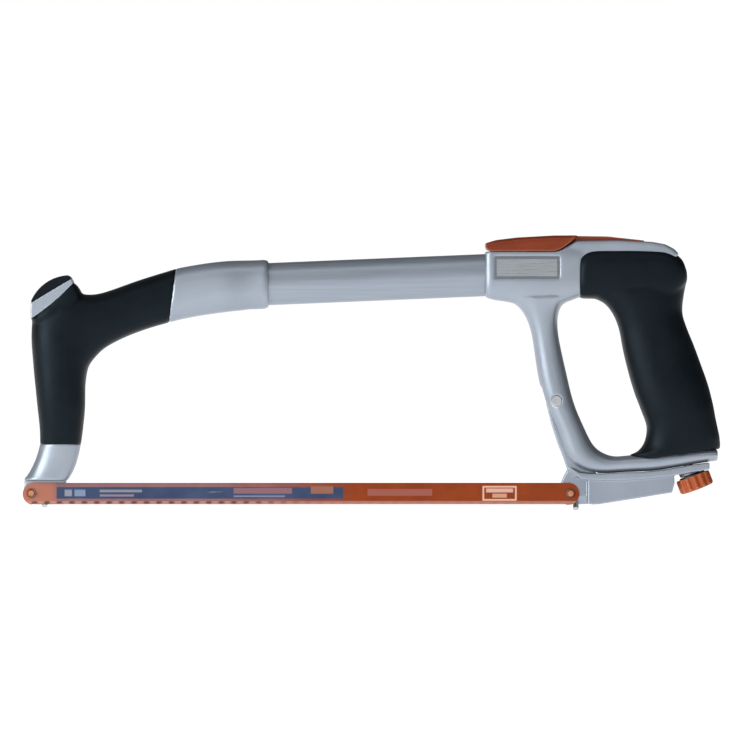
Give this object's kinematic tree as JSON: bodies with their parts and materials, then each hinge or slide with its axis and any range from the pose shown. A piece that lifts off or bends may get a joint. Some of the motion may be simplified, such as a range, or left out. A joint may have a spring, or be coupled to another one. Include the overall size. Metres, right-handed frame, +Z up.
{
  "type": "hacksaw",
  "caption": "Bow-framed hacksaw with an oval tube spine, rubber-covered front horn, D-handle with a lidded blade store, and a screw-pulled lever that tensions an orange blade.",
  "frame": {"origin": "centre of the rear rubber grip in the D-handle", "axes": "+X along the blade towards the handle, +Z up away from the blade, +Y across the frame away from the blade's side"},
  "size_m": [0.3881, 0.0312, 0.153],
  "materials": {
    "cast_alloy": "satin silver die-cast",
    "tube_alloy": "satin silver",
    "plate_alloy": "bare satin",
    "grip_rubber": "soft matt",
    "lid_plastic": "semi gloss orange red",
    "knob_plastic": "semi gloss orange",
    "blade_paint": "orange paint over steel",
    "steel": "bright"
  },
  "bodies": {
    "frame": {"front_casting": "cast_alloy", "front_grip": "grip_rubber", "thumb_pad": "grip_rubber", "frame_tube": "tube_alloy", "front_tube_pin": "steel", "rear_tube_pin": "steel", "handle_casting": "cast_alloy", "rear_grip": "grip_rubber", "lid_hinge_pin": "steel", "label_plate": "plate_alloy", "lever_pivot_pin": "steel", "trunnion_nut": "steel", "front_blade_pin": "steel", "front_flush_pin": "steel"},
    "lid": {"storage_lid": "lid_plastic"},
    "lever": {"tension_lever": "cast_alloy", "rear_blade_pin": "steel", "rear_flush_pin": "steel"},
    "washer": {"thrust_washer": "steel"},
    "knob": {"tension_knob": "knob_plastic", "tension_screw": "steel"},
    "blade": {"blade": "blade_paint"}
  },
  "joints": [
    {"name": "lid_hinge", "type": "hinge", "parent": "frame", "child": "lid", "pos_m": [-0.0115, 0, 0.0612], "axis": [0, 1, 0], "range_deg": [0, 85]},
    {"name": "lever_swing", "type": "hinge", "parent": "frame", "child": "lever", "pos_m": [-0.058, 0, -0.0245], "axis": [0, 1, 0], "range_deg": [0, 0.95]},
    {"name": "knob_travel", "type": "slide", "parent": "frame", "child": "washer", "axis": [0.3551, 0, -0.9348], "range_m": [0, 0.0009313]},
    {"name": "knob_spin", "type": "hinge", "parent": "washer", "child": "knob", "pos_m": [0.01775, 0, -0.06625], "axis": [0.3551, 0, -0.9348], "range_deg": [0, 335.24]},
    {"name": "blade_off", "type": "slide", "parent": "frame", "child": "blade", "axis": [0, -1, 0], "range_m": [0, 0.012]}
  ],
  "couplings": [
    {"joint": "knob_travel", "follows": "lever_swing", "m_per_rad": 0.056162},
    {"joint": "knob_spin", "follows": "lever_swing", "ratio": 352.88}
  ]
}
